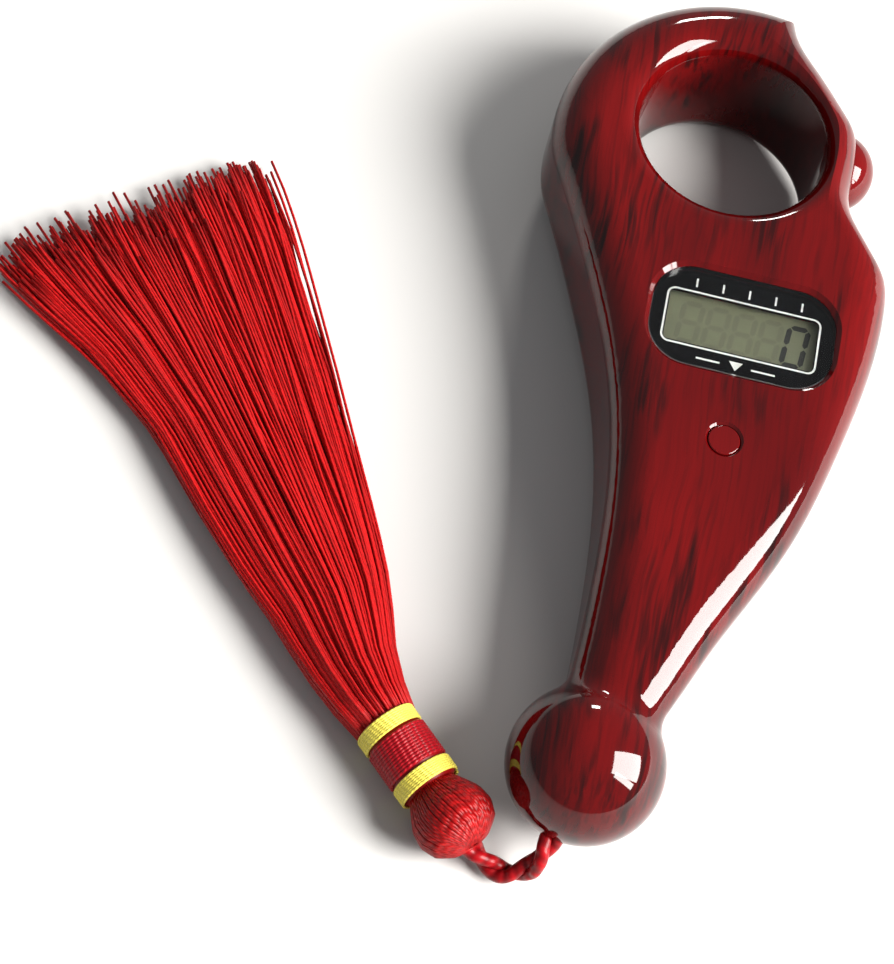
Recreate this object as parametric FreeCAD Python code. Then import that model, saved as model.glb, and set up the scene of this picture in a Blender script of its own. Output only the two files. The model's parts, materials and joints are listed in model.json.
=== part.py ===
import FreeCAD, Part
import math
import os

# Hand tally counter: a finger ring with a tapering grip, a ball end and a tassel.
# Millimetres. It lies on its back: +X points to the count button, +Y up the grip to the ring,
# and +Z out of the front.
# Everything is drawn about the finger bore's axis and moved to the base centre of the body at the end.

Vector = FreeCAD.Vector

# Body
body_thickness = 15.8
bore_radius = 10.0
bore_lip = 2.2
bore_wall = 0.9
head_radius = 19.2
head_centre = Vector(0.7, -1.6, 0)
tip_angle = 77.2
ball_radius = 7.6
ball_wall = 1.6
ball_across = -2.9
ball_down = 69.5
neck_half_width = 4.5
neck_beside = 0.78
neck_sink = 3.4
neck_half_height = 5.3
front_taper_run = 12.7
back_taper_run = 9.6
neck_blend = 3.0
edge_round_left = 5.0
edge_round_grip = 4.8
edge_round_neck = 3.8
edge_round_tip = 5.0
edge_round_rim = 4.8

# Shells
shell_wall = 1.4
inner_step = 1.1
parting_height = 6.0
boss_radius = 2.2
fit_gap = 0.08
slip_gap = 0.05

# Display
window_width = 18.6
window_height = 11.2
window_corner = 4.2
window_thickness = 0.9
window_depth = 0.4
window_bevel = 0.45
window_across = 3.9
window_down = 23.5
mask_thickness = 0.1
view_width = 15.2
view_height = 5.8
view_corner = 0.4
ledge_thickness = 0.8
ledge_margin = 1.6
film_thickness = 0.2
glass_thickness = 0.55
glass_width = 19.0
glass_height = 10.4
glass_step = 1.9
film_margin = 0.8
view_margin = 0.4
strip_width = 1.2
pad_width = 1.5

# Circuit board
board_below_front = 6.8
board_thickness = 0.8
board_margin = 0.5
board_end = 45.0
board_top_gap = 1.0
chip_radius = 3.2
chip_height = 1.1
board_screw_places = [(-4.4, -33.6), (11.2, -33.6)]
board_boss_radius = 1.5
board_screw_length = 3.6
board_screw_head_radius = 1.3
board_screw_head_height = 0.7
board_screw_shank_radius = 0.6

# Push switches
switch_width = 4.0
switch_base_height = 1.2
switch_cover_height = 0.2
switch_well_radius = 1.5
switch_well_floor = 0.3
switch_stem_radius = 0.9
switch_foot_radius = 1.3
switch_foot_height = 0.3
switch_dome_rise = 0.18
switch_height = 2.1
button_travel = 0.3

# Reset button
reset_radius = 1.6
reset_flange_radius = 2.5
reset_flange_height = 0.7
reset_across = 3.83
reset_down = 36.67
reset_groove = 0.3
reset_recess = 0.1

# Count button
count_angle = 13.0
count_dome_radius = 4.3
count_dome_wall = 0.8
count_stand = 2.2
count_centre = bore_radius + count_stand
count_skirt = 0.2
count_tab_reach = 5.1
count_tab_half_width = 1.5
count_tab_thickness = 0.5
count_stem_radius = 1.0
count_board_thickness = 0.5
count_board_width = 5.6
count_board_height = 9.0
wire_radius = 0.25

# Power
cell_radius = 5.8
cell_height = 3.05
cell_across = 3.6
bay_gap = 0.2
bay_wall = 1.0
bay_floor = 1.3
cell_down = 23.5
cover_width = 13.6
cover_thickness = 1.2
cover_corner = 2.2
cover_tail = 4.6
cover_screw_back = 2.7
contact_thickness = 0.2
contact_width = 3.0

# Screws
screw_shank_radius = 0.8
screw_head_radius = 1.5
screw_head_height = 1.0
screw_recess = 0.6
screw_length = 8.0
case_screw_beside_bore = 4.0
case_screw_places = [
    (-bore_radius - case_screw_beside_bore, 0.6),
    (14.4, -14.6),
    (0.8, 19.0 - ball_down),
]
cover_screw_head_radius = 1.25
cover_screw_head_height = 0.6
cover_screw_length = 3.4
cover_screw_seat = 0.8
screw_thread_radius = 0.6

# Cord and tassel
cord_radius = 0.9
cord_hole_gap = 0.2
knot_radius = 2.1
# Places along the cord from the ball's centre; heights are above the surface it lies on.
cord_route = [
    (-0.85, -3.6, 6.9),
    (-1.85, -8.4, 5.2),
    (-2.8, -9.4, 2.6),
    (-4.9, -10.0, 1.0),
    (-7.4, -9.0, 1.8),
    (-9.5, -8.1, 3.5),
    (-13.2, -4.9, 4.2),
    (-17.2, -0.6, 3.6),
    (-22.2, 5.8, 3.4),
]
tassel_start = Vector(-8.6, -8.9, 4.15)
binding_end = Vector(-19.0, 1.2, 3.5)
tassel_tip = Vector(-55.5, 49.6, 1.7)
head_knob_radius = 4.05
head_knob_length = 6.6
binding_radius = 3.2
binding_core_radius = 2.55
gold_width = 1.9
skirt_end_half_width = 15.3
skirt_end_half_height = 1.5

front = body_thickness
middle = body_thickness / 2
ball_centre = Vector(ball_across, -ball_down, middle)
up = Vector(0, 0, 1)


# Plain solids


def cylinder(radius, low, high, across=0.0, along=0.0):
    return Part.makeCylinder(radius, high - low, Vector(across, along, low), up)


def cone(low_radius, high_radius, low, high, across=0.0, along=0.0):
    return Part.makeCone(low_radius, high_radius, high - low, Vector(across, along, low), up)


def block(across, along, width, height, low, high):
    corner = Vector(across - width / 2, along - height / 2, low)
    return Part.makeBox(width, height, high - low, corner)


def rounded_wire(across, along, width, height, corner, level):
    """A rectangle with round corners, centred on across and along."""
    half_w = width / 2
    half_h = height / 2
    reach = corner * (1 - math.sqrt(0.5))
    edges = []
    for sx, sy, turned in ((1, 1, False), (-1, 1, True), (-1, -1, False), (1, -1, True)):
        flat_end = Vector(sx * (half_w - corner), sy * half_h, 0)
        side_end = Vector(sx * half_w, sy * (half_h - corner), 0)
        knee = Vector(sx * (half_w - reach), sy * (half_h - reach), 0)
        first, last = (flat_end, side_end) if turned else (side_end, flat_end)
        if edges:
            edges.append(Part.makeLine(last_point, first))
        edges.append(Part.Arc(first, knee, last).toShape())
        last_point = last
    edges.append(Part.makeLine(last_point, Vector(half_w, half_h - corner, 0)))
    wire = Part.Wire(edges)
    wire.translate(Vector(across, along, level))
    return wire


def rounded_plate(across, along, width, height, corner, low, high):
    wire = rounded_wire(across, along, width, height, corner, low)
    return Part.Face(wire).extrude(Vector(0, 0, high - low))


def revolved(points, start, way):
    """A solid of revolution: points are (distance along the axis, radius), from start along way."""
    outline = [Vector(radius, 0, along) for along, radius in points]
    outline = [Vector(0, 0, points[0][0])] + outline + [Vector(0, 0, points[-1][0])]
    corners = [outline[0]]
    for point in outline[1:]:
        if (point - corners[-1]).Length > 1e-6:
            corners.append(point)
    solid = Part.Face(Part.makePolygon(corners + [corners[0]])).revolve(Vector(), up, 360)
    solid.Placement = FreeCAD.Placement(start, FreeCAD.Rotation(up, way))
    return solid


def tube_along(points, radius):
    """A round tube along straight runs joined by tangent arcs; returns it with its arcs' radii."""
    edges = []
    radii = []
    last = points[0]
    for before, corner, after in zip(points, points[1:], points[2:]):
        way_in = (corner - before).normalize()
        way_out = (after - corner).normalize()
        half_turn = way_in.getAngle(way_out) / 2
        reach = 0.45 * min((corner - before).Length, (after - corner).Length)
        arc_radius = reach / math.tan(half_turn)
        radii.append(round(arc_radius, 1))
        first = corner - way_in * reach
        end = corner + way_out * reach
        inward = (way_out - way_in).normalize()
        knee = corner + inward * (arc_radius / math.cos(half_turn) - arc_radius)
        edges.append(Part.makeLine(last, first))
        edges.append(Part.Arc(first, knee, end).toShape())
        last = end
    edges.append(Part.makeLine(last, points[-1]))
    path = Part.Wire(edges)
    section = Part.Wire(Part.makeCircle(radius, points[0], points[1] - points[0]))
    tube = path.makePipeShell([section], True, True)
    return tube, radii, path.Length


def one_solid(shape):
    """The only solid in a result that should hold one."""
    solids = sorted(shape.Solids, key=lambda solid: solid.Volume)
    return solids[-1]


# Body outline


def on_head(radius, angle):
    turn = math.radians(angle)
    return head_centre + Vector(radius * math.cos(turn), radius * math.sin(turn), 0)


def around_bore(radius, angle, height):
    at = math.radians(angle)
    return Vector(radius * math.cos(at), radius * math.sin(at), height)


left_start = on_head(head_radius, 180)
tip = on_head(head_radius, tip_angle)
neck_across = ball_across + neck_beside
neck_end_along = neck_sink - ball_down
down_rim = Vector(-0.03, -1, 0)
rim_points = [
    tip,
    around_bore(bore_radius + 5.46, 66.75, 0),
    around_bore(bore_radius + 3.98, 52.56, 0),
    around_bore(bore_radius + 3.58, 30.53, 0),
    Vector(bore_radius + 3.45, 0.5, 0),
]
notch_points = [
    rim_points[-1], Vector(bore_radius + 3.7, -5.6, 0), Vector(17.2, -11.0, 0), Vector(18.6, -15.6, 0)
]
flank_points = [
    notch_points[-1],
    Vector(17.9, -window_down, 0),
    Vector(15.7, -0.482 * ball_down, 0),
    Vector(neck_across + 14.3, -0.647 * ball_down, 0),
    Vector(neck_across + 9.0, -0.806 * ball_down, 0),
    Vector(neck_across + neck_half_width, neck_end_along, 0),
]
left_points = [
    Vector(neck_across - neck_half_width, neck_end_along, 0),
    Vector(neck_across - 3.65, -0.791 * ball_down, 0),
    Vector(neck_across - 4.0, -0.612 * ball_down, 0),
    Vector(-8.5, -0.423 * ball_down, 0),
    Vector(-12.4, -0.265 * ball_down, 0),
    Vector(-16.9, -0.115 * ball_down, 0),
    left_start,
]


def curve_through(points, first_way, last_way):
    curve = Part.BSplineCurve()
    curve.interpolate(Points=points, InitialTangent=first_way, FinalTangent=last_way)
    return curve


outline_curves = [
    (rim_points, Vector(0.2, -0.98, 0), down_rim),
    (notch_points, down_rim, Vector(0, -1, 0)),
    (flank_points, Vector(0, -1, 0), Vector(-0.45, -0.9, 0)),
    (left_points, Vector(0.2, 1, 0), Vector(0, 1, 0)),
]


def body_outline(inset):
    """The body's plan outline, moved inwards by inset."""
    radius = head_radius - inset
    moved = []
    for points, first_way, last_way in outline_curves:
        curve = curve_through(points, first_way, last_way)
        inner = []
        for point in points:
            way = curve.tangent(curve.parameter(point))[0]
            inner.append(point + Vector(way.y, -way.x, 0) * inset)
        moved.append(inner)
    tip_turn = tip_angle if inset == 0 else tip_angle + 4.5
    moved[0][0] = on_head(radius, tip_turn)
    moved[3][-1] = on_head(radius, 180)
    edges = [Part.Arc(moved[3][-1], on_head(radius, 130), moved[0][0]).toShape()]
    for inner, (points, first_way, last_way) in zip(moved[:3], outline_curves[:3]):
        edges.append(curve_through(inner, first_way, last_way).toShape())
    edges.append(Part.makeLine(moved[2][-1], moved[3][0]))
    edges.append(curve_through(moved[3], outline_curves[3][1], outline_curves[3][2]).toShape())
    return Part.Wire(edges)


def side_profile(inset):
    """The body seen from its side: flat front and back that curve in towards the neck."""
    high = front - inset
    low = inset
    end = neck_end_along
    bends = []
    front_drop = front - middle - neck_half_height
    back_rise = middle - neck_half_height
    front_length = front_taper_run * front_drop
    back_length = back_taper_run * back_rise
    tapers = ((high, -front_drop, front_length), (low, back_rise, back_length))
    for level, drop, length in tapers:
        radius = (length**2 + drop**2) / (2 * abs(drop))
        way = math.copysign(1, drop)
        middle_rise = radius - math.sqrt(radius**2 - (length / 2) ** 2)
        start = Vector(0, end + length, level)
        knee = Vector(0, end + length / 2, level + way * middle_rise)
        finish = Vector(0, end, level + drop)
        bends.append((start, knee, finish))
    (top_start, top_knee, top_end), (low_start, low_knee, low_end) = bends
    beyond = Vector(0, -4, 0)
    far_top = Vector(0, 2 * head_radius, high)
    far_low = Vector(0, 2 * head_radius, low)
    edges = [
        Part.makeLine(far_top, top_start),
        Part.Arc(top_start, top_knee, top_end).toShape(),
        Part.makeLine(top_end, top_end + beyond),
        Part.makeLine(top_end + beyond, low_end + beyond),
        Part.makeLine(low_end + beyond, low_end),
        Part.Arc(low_end, low_knee, low_start).toShape(),
        Part.makeLine(low_start, far_low),
        Part.makeLine(far_low, far_top),
    ]
    width = 4 * head_radius
    profile = Part.Face(Part.Wire(edges)).extrude(Vector(width, 0, 0))
    profile.translate(Vector(-width / 2, 0, 0))
    return profile


def slab(plan_inset, side_inset):
    """The outline raised through the side profile, with square edges."""
    raised = Part.Face(body_outline(plan_inset)).extrude(Vector(0, 0, front + 10))
    raised.translate(Vector(0, 0, -5))
    return one_solid(raised.common(side_profile(side_inset)))


def edge_round_at(point):
    """The outer edge's radius at one end of an edge."""
    flat = Vector(point.x, point.y, 0)
    places = (
        (left_start, edge_round_left),
        (tip, edge_round_tip),
        (rim_points[-1], edge_round_rim),
        (notch_points[-1], edge_round_grip),
        (flank_points[-1], edge_round_neck),
        (left_points[0], edge_round_neck),
    )
    for place, radius in places:
        if (flat - place).Length < 0.1:
            return radius
    return edge_round_grip


def rim_edges(solid):
    """The front and back edges that follow the outline, as (number, first radius, last radius)."""
    found = []
    for number, edge in enumerate(solid.Edges, start=1):
        box = edge.BoundBox
        upright = box.ZLength > body_thickness / 2
        crosswise = box.YLength < 0.01
        if upright or crosswise:
            continue
        first = edge_round_at(edge.valueAt(edge.FirstParameter))
        last = edge_round_at(edge.valueAt(edge.LastParameter))
        found.append((number, first, last))
    return found


def rounded_slab():
    """The slab with edges whose radius grows from the thin rim to the grip."""
    document = FreeCAD.newDocument("body")
    plain = document.addObject("Part::Feature", "plain")
    plain.Shape = slab(0, 0)
    rounded = document.addObject("Part::Fillet", "rounded")
    rounded.Base = plain
    rounded.Edges = rim_edges(plain.Shape)
    document.recompute()
    solid = one_solid(rounded.Shape.copy())
    FreeCAD.closeDocument("body")
    return solid


def outer_body():
    """The body with its ball blended on, before the bore and the recesses."""
    ball = Part.makeSphere(ball_radius, ball_centre)
    joined = one_solid(rounded_slab().fuse(ball))
    seam = []
    for edge in joined.Edges:
        place = edge.valueAt((edge.FirstParameter + edge.LastParameter) / 2)
        on_ball = abs((place - ball_centre).Length - ball_radius) < 0.02
        if on_ball and place.y > ball_centre.y + 1 and not edge.Degenerated:
            seam.append(edge)
    return one_solid(joined.makeFillet(neck_blend, seam))


def bore_space():
    """The finger bore with its rounded lips, as a solid to cut with."""
    lip = bore_radius + bore_lip
    knee = bore_lip * (1 - math.sqrt(0.5))
    beyond = 2.0
    corners = [
        Vector(0, 0, -beyond),
        Vector(lip, 0, -beyond),
        Vector(lip, 0, 0),
        Vector(bore_radius, 0, bore_lip),
        Vector(bore_radius, 0, front - bore_lip),
        Vector(lip, 0, front),
        Vector(lip, 0, front + beyond),
        Vector(0, 0, front + beyond),
    ]
    edges = [Part.makeLine(corners[i], corners[i + 1]) for i in (0, 1)]
    low_knee = Vector(bore_radius + knee, 0, knee)
    edges.append(Part.Arc(corners[2], low_knee, corners[3]).toShape())
    edges.append(Part.makeLine(corners[3], corners[4]))
    high_knee = Vector(bore_radius + knee, 0, front - knee)
    edges.append(Part.Arc(corners[4], high_knee, corners[5]).toShape())
    edges.append(Part.makeLine(corners[5], corners[6]))
    edges.append(Part.makeLine(corners[6], corners[7]))
    edges.append(Part.makeLine(corners[7], corners[0]))
    return Part.Face(Part.Wire(edges)).revolve(Vector(), up, 360)


def hollow():
    """The space inside the shells, around the bore's wall, stepped to follow the rounded edges."""
    layers = []
    for plan_inset, side_inset in (
        (shell_wall, shell_wall + 2 * inner_step),
        (shell_wall + inner_step, shell_wall + inner_step),
        (shell_wall + 2 * inner_step, shell_wall),
    ):
        layers.append(slab(plan_inset, side_inset))
    ball = Part.makeSphere(ball_radius - ball_wall, ball_centre)
    wall = cylinder(bore_radius + bore_wall, -1, front + 1)
    return layers[0].fuse(layers[1:] + [ball]).cut(wall)


# Heights that several pieces share

window_top = front - window_depth
window_low = window_top - window_thickness
ledge_top = window_low - mask_thickness
ledge_low = ledge_top - ledge_thickness
film_low = ledge_low - film_thickness
glass_low = film_low - glass_thickness
rear_glass_low = glass_low - glass_thickness
reflector_low = rear_glass_low - film_thickness
board_top = front - board_below_front
board_low = board_top - board_thickness
window_along = -window_down
view_opening_width = view_width + 2 * view_margin
view_opening_height = view_height + 2 * view_margin
glass_bottom = window_along - glass_height / 2
cell_along = -cell_down
cell_low = cover_thickness
cell_top = cell_low + cell_height
bay_radius = cell_radius + bay_gap
cover_height = cover_width + cover_tail
cover_along = cell_along - cover_tail / 2
cover_screw_along = cover_along - cover_height / 2 + cover_screw_back
count_board_inner = bore_radius + bore_wall + slip_gap
count_board_outer = count_board_inner + count_board_thickness
reset_along = -reset_down
turn = math.radians(count_angle)
count_way = Vector(math.cos(turn), math.sin(turn), 0)
count_side = Vector(-math.sin(turn), math.cos(turn), 0)
count_frame = FreeCAD.Placement(Vector(0, 0, middle), FreeCAD.Rotation(count_side, up, count_way, "ZYX"))


def at_count(shape):
    """Moves a shape drawn with its height along the count button's way to its place."""
    shape.Placement = count_frame.multiply(shape.Placement)
    return shape


# Shells


def count_opening():
    """The hole, the tab slots and the switch board's pocket for the count button."""
    hole = cylinder(count_dome_radius + fit_gap, count_board_inner, count_centre + 2 * count_dome_radius)
    tab_top = count_centre - count_skirt + count_tab_thickness + slip_gap
    tab_low = count_centre - count_skirt - button_travel - fit_gap
    tabs = block(
        0, 0, 2 * (count_tab_half_width + fit_gap), 2 * (count_tab_reach + fit_gap), tab_low, tab_top
    )
    pocket = block(
        0,
        0,
        count_board_width + fit_gap,
        count_board_height + fit_gap,
        count_board_inner,
        count_board_outer + fit_gap,
    )
    return at_count(hole.fuse([tabs, pocket]))


def cord_places():
    return [Vector(ball_centre.x + x, ball_centre.y + y, z) for x, y, z in cord_route]


def cord_hole():
    inside, outside = cord_places()[:2]
    way = outside - inside
    return Part.makeCylinder(cord_radius + cord_hole_gap, way.Length * 1.5, inside, way)


def screw_spaces():
    """Shank holes and head recesses of the case screws."""
    spaces = []
    for across, along in case_screw_places:
        seat = screw_recess + screw_head_height
        spaces.append(cylinder(screw_head_radius + 2 * fit_gap, -1, seat, across, along))
        spaces.append(
            cylinder(screw_shank_radius + slip_gap, 0, seat + screw_length + 0.5, across, along)
        )
    return spaces


def window_space():
    """The window's recess with a bevelled edge, and the view opening through its ledge."""
    width = window_width + 2 * fit_gap
    height = window_height + 2 * fit_gap
    recess = rounded_plate(
        window_across, window_along, width, height, window_corner, ledge_top, front + 1
    )
    wide = 2 * window_bevel
    low_wire = rounded_wire(
        window_across, window_along, width, height, window_corner, front - window_bevel
    )
    high_wire = rounded_wire(
        window_across,
        window_along,
        width + 2 * wide,
        height + 2 * wide,
        window_corner + wide,
        front + window_bevel,
    )
    bevel = Part.makeLoft([low_wire, high_wire], True, True)
    view = rounded_plate(
        window_across,
        window_along,
        view_opening_width,
        view_opening_height,
        view_corner,
        ledge_low - 1,
        front,
    )
    return recess.fuse([bevel, view])


def front_shell(body, space):
    shell = body.cut(space)
    ledge = rounded_plate(
        window_across,
        window_along,
        window_width + 2 * ledge_margin,
        window_height + 2 * ledge_margin,
        window_corner,
        ledge_low,
        front - shell_wall / 2,
    )
    bosses = [cylinder(boss_radius, parting_height, front, x, y) for x, y in case_screw_places]
    bosses += [cylinder(board_boss_radius, board_top, front, x, y) for x, y in board_screw_places]
    guide = cylinder(reset_flange_radius + 1.0, board_top + 4.2, front, reset_across, reset_along)
    guide = guide.cut(
        cylinder(reset_flange_radius + fit_gap, 0, front - shell_wall, reset_across, reset_along)
    )
    inside = ledge.fuse(bosses + [guide]).common(body)
    shell = shell.fuse(inside)
    upper = block(0, -30, 200, 200, parting_height, front + 20)
    hole = cylinder(reset_radius + fit_gap, board_top + 3, front + 1, reset_across, reset_along)
    groove = cone(
        reset_radius,
        reset_radius + fit_gap + 2 * reset_groove,
        front - reset_groove,
        front + reset_groove,
        reset_across,
        reset_along,
    )
    board_pilots = [
        cylinder(board_screw_shank_radius + slip_gap, board_top, board_top + board_screw_length, x, y)
        for x, y in board_screw_places
    ]
    flange_space = cylinder(
        reset_flange_radius + fit_gap, board_top + 4.2, front - shell_wall, reset_across, reset_along
    )
    glass_space = block(
        window_across,
        window_along,
        glass_width + 2 * fit_gap,
        glass_height + 2 * fit_gap,
        rear_glass_low,
        ledge_low,
    )
    openings = [bore_space(), window_space(), count_opening(), cord_hole()]
    cuts = openings + [hole, groove, flange_space, glass_space]
    return one_solid(shell.common(upper).cut(cuts + screw_spaces() + board_pilots))


def rear_shell(body, space):
    shell = body.cut(space)
    bosses = [cylinder(boss_radius, 0, parting_height, x, y) for x, y in case_screw_places]
    frame = rounded_plate(
        cell_across,
        cover_along,
        cover_width + 2 * bay_wall,
        cover_height + 2 * bay_wall,
        cover_corner + bay_wall,
        0,
        cover_thickness + bay_floor,
    )
    fence = cylinder(bay_radius + bay_wall, 0, cell_top, cell_across, cell_along)
    screw_end = cover_screw_seat + cover_screw_length
    screw_boss = cylinder(boss_radius - 0.3, 0, screw_end + 0.7, cell_across, cover_screw_along)
    inside = frame.fuse(bosses + [fence, screw_boss]).common(body)
    shell = shell.fuse(inside)
    lower = block(0, -30, 200, 200, -20, parting_height)
    bay = cylinder(bay_radius, -1, front, cell_across, cell_along)
    recess = rounded_plate(
        cell_across, cover_along, cover_width + 2 * fit_gap, cover_height + 2 * fit_gap, cover_corner,
        -1, cover_thickness,
    )
    contact_slot = block(
        cell_across + bay_radius + bay_wall, cell_along, 3 * bay_wall, contact_width + 4 * fit_gap,
        cover_thickness + bay_floor, parting_height,
    )
    pilot = cylinder(screw_thread_radius + slip_gap, 0, screw_end + 0.3, cell_across, cover_screw_along)
    cuts = [bore_space(), count_opening(), cord_hole(), bay, recess, contact_slot, pilot]
    return one_solid(shell.common(lower).cut(cuts + screw_spaces()))


# Display


def display():
    pieces = {}
    pieces["display_window"] = rounded_plate(
        window_across, window_along, window_width, window_height, window_corner, window_low, window_top
    )
    mask = rounded_plate(
        window_across, window_along, window_width, window_height, window_corner, ledge_top, window_low
    )
    view = rounded_plate(window_across, window_along, view_width, view_height, view_corner, 0, front)
    pieces["window_mask"] = mask.cut(view)
    film_width = view_opening_width + film_margin
    film_height = view_opening_height + film_margin
    pieces["front_polariser"] = block(
        window_across, window_along, film_width, film_height, film_low, ledge_low
    )
    pieces["lcd_front_glass"] = block(
        window_across, window_along, glass_width, glass_height, glass_low, film_low
    )
    rear_height = glass_height - glass_step
    rear_along = window_along + glass_step / 2
    pieces["lcd_rear_glass"] = block(
        window_across, rear_along, glass_width, rear_height, rear_glass_low, glass_low
    )
    pieces["lcd_reflector"] = block(
        window_across, rear_along, film_width, film_height, reflector_low, rear_glass_low
    )
    strip_along = glass_bottom + glass_step / 2
    pieces["contact_strip"] = block(
        window_across, strip_along, glass_width - 1, strip_width, board_top, glass_low
    )
    pad_along = rear_along + film_height / 2 - pad_width / 2
    pieces["display_pad"] = block(
        window_across, pad_along, film_width, pad_width, board_top, reflector_low
    )
    return pieces


# Switches, boards and buttons


def push_switch(name):
    """A low push switch that stands on z = 0 with its stem up."""
    base = block(0, 0, switch_width, switch_width, 0, switch_base_height)
    base = base.cut(cylinder(switch_well_radius, switch_well_floor, switch_base_height))
    cover_top = switch_base_height + switch_cover_height
    cover = block(0, 0, switch_width, switch_width, switch_base_height, cover_top)
    cover = cover.cut(cylinder(switch_stem_radius + slip_gap, 0, cover_top))
    foot_top = switch_base_height - slip_gap
    stem = cylinder(switch_foot_radius, foot_top - switch_foot_height, foot_top)
    stem = stem.fuse(cylinder(switch_stem_radius, foot_top - switch_foot_height, switch_height))
    dome_reach = switch_foot_radius
    dome_radius = (dome_reach**2 + switch_dome_rise**2) / (2 * switch_dome_rise)
    dome_top = switch_well_floor + switch_dome_rise
    sheet = 0.07
    dome = Part.makeSphere(dome_radius, Vector(0, 0, dome_top - dome_radius))
    dome = dome.cut(Part.makeSphere(dome_radius - sheet, Vector(0, 0, dome_top - dome_radius)))
    dome = dome.common(cylinder(dome_reach, switch_well_floor, dome_top + 1))
    legs = []
    for side in (-1, 1):
        for end in (-1, 1):
            place = side * (switch_width / 2 + 0.35)
            legs.append(block(place, end * switch_width / 4, 0.7, 0.7, 0, 0.25))
    return {
        name + "_base": base,
        name + "_cover": cover,
        name + "_plunger": one_solid(stem),
        name + "_dome": one_solid(dome),
        name + "_legs": Part.makeCompound(legs),
    }


def reset_parts():
    pieces = push_switch("reset_switch")
    for piece in pieces.values():
        piece.translate(Vector(reset_across, reset_along, board_top))
    flange_top = front - shell_wall - slip_gap
    flange_low = flange_top - reset_flange_height
    stem_low = board_top + switch_height + slip_gap
    cap = cylinder(reset_radius, flange_top, front - reset_recess, reset_across, reset_along)
    rim = max(cap.Edges, key=lambda edge: edge.BoundBox.ZMin)
    cap = cap.makeFillet(0.15, [rim])
    flange = cylinder(reset_flange_radius, flange_low, flange_top, reset_across, reset_along)
    stem = cylinder(switch_stem_radius, stem_low, flange_low, reset_across, reset_along)
    pieces["reset_button"] = one_solid(cap.fuse([flange, stem]))
    return pieces


def count_button():
    """A hollow dome with two tabs that keep it in, and a stem that meets its switch."""
    skirt_low = count_centre - count_skirt
    centre = Vector(0, 0, count_centre)
    reach = 2 * count_dome_radius
    upper_half = block(0, 0, 2 * reach, 2 * reach, count_centre, count_centre + reach)
    outside = Part.makeSphere(count_dome_radius, centre).common(upper_half)
    outside = outside.fuse(cylinder(count_dome_radius, skirt_low, count_centre))
    inner_radius = count_dome_radius - count_dome_wall
    inside = Part.makeSphere(inner_radius, centre).fuse(cylinder(inner_radius, 0, count_centre))
    stem_low = count_board_outer + switch_height + slip_gap
    stem = cylinder(count_stem_radius, stem_low, count_centre + inner_radius + count_dome_wall / 2)
    tabs = block(
        0, 0, 2 * count_tab_half_width, 2 * count_tab_reach, skirt_low, skirt_low + count_tab_thickness
    )
    tabs = tabs.cut(cylinder(inner_radius, 0, 2 * count_centre))
    return at_count(one_solid(outside.cut(inside).fuse([stem, tabs])))


def count_parts():
    pieces = push_switch("count_switch")
    for piece in pieces.values():
        piece.translate(Vector(0, 0, count_board_outer))
        at_count(piece)
    pieces["count_button"] = count_button()
    pieces["count_switch_board"] = at_count(
        block(0, 0, count_board_width, count_board_height, count_board_inner, count_board_outer)
    )
    wires = []
    start_way = count_way * (count_board_inner + count_board_thickness / 2)
    start_way -= count_side * (count_board_width / 2 + wire_radius)
    around = count_board_outer + 0.15
    for start_height, end_angle in ((wire_radius, -58), (4.2 * wire_radius, -50)):
        places = [start_way + Vector(0, 0, board_top + start_height)]
        for angle in (-18, -34):
            places.append(around_bore(around, angle, board_top + start_height))
        places.append(around_bore(around, end_angle, board_top + start_height))
        places.append(around_bore(around + 2.2, end_angle - 12, board_top + wire_radius))
        wires.append(tube_along(places, wire_radius)[0])
    pieces["count_switch_wires"] = Part.makeCompound(wires)
    return pieces


def board_parts():
    pieces = {}
    plate = Part.Face(body_outline(shell_wall + board_margin)).extrude(Vector(0, 0, board_thickness))
    plate.translate(Vector(0, 0, board_low))
    top_along = -(bore_radius + bore_wall + board_top_gap)
    window = block(0, (top_along - board_end) / 2 + 5, 100, board_end + top_along + 10, 0, front)
    board = plate.common(window)
    holes = [cylinder(bore_radius + bore_wall + board_top_gap, 0, front)]
    holes += [cylinder(boss_radius + 0.3, 0, front, x, y) for x, y in case_screw_places]
    holes += [
        cylinder(board_screw_shank_radius + fit_gap, 0, front, x, y) for x, y in board_screw_places
    ]
    pieces["circuit_board"] = one_solid(board.cut(holes))
    cap_radius = (chip_radius**2 + chip_height**2) / (2 * chip_height)
    chip_centre = Vector(window_across, window_along, board_top + chip_height - cap_radius)
    chip = Part.makeSphere(cap_radius, chip_centre)
    pieces["chip_cover"] = one_solid(
        chip.common(block(window_across, window_along, 20, 20, board_top, front))
    )
    chips = []
    resistors = []
    for step in (0, 1):
        beside = window_across - 7.0 + step * 14.0
        chips.append(block(beside, window_along - 1.0, 1.6, 0.8, board_top, board_top + 0.8))
        resistors.append(block(beside, window_along + 2.0, 1.6, 0.8, board_top, board_top + 0.45))
    pieces["capacitors"] = Part.makeCompound(chips)
    pieces["resistors"] = Part.makeCompound(resistors)
    return pieces


# Screws


def screw(head_radius, head_height, shank_radius, length, across, along, seat):
    """A pan head screw whose head's underside is at seat, pointing up."""
    head = cylinder(head_radius, seat - head_height, seat, across, along)
    shank = cylinder(shank_radius, seat, seat + length - shank_radius, across, along)
    point = cone(shank_radius, 0.1, seat + length - shank_radius, seat + length, across, along)
    long = 1.1 * head_radius
    wide = 0.28 * head_radius
    slot_low = seat - head_height - 1
    slot_high = seat - head_height / 2
    slots = [
        block(across, along, long, wide, slot_low, slot_high),
        block(across, along, wide, long, slot_low, slot_high),
    ]
    return one_solid(head.cut(slots).fuse([shank, point]))


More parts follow.
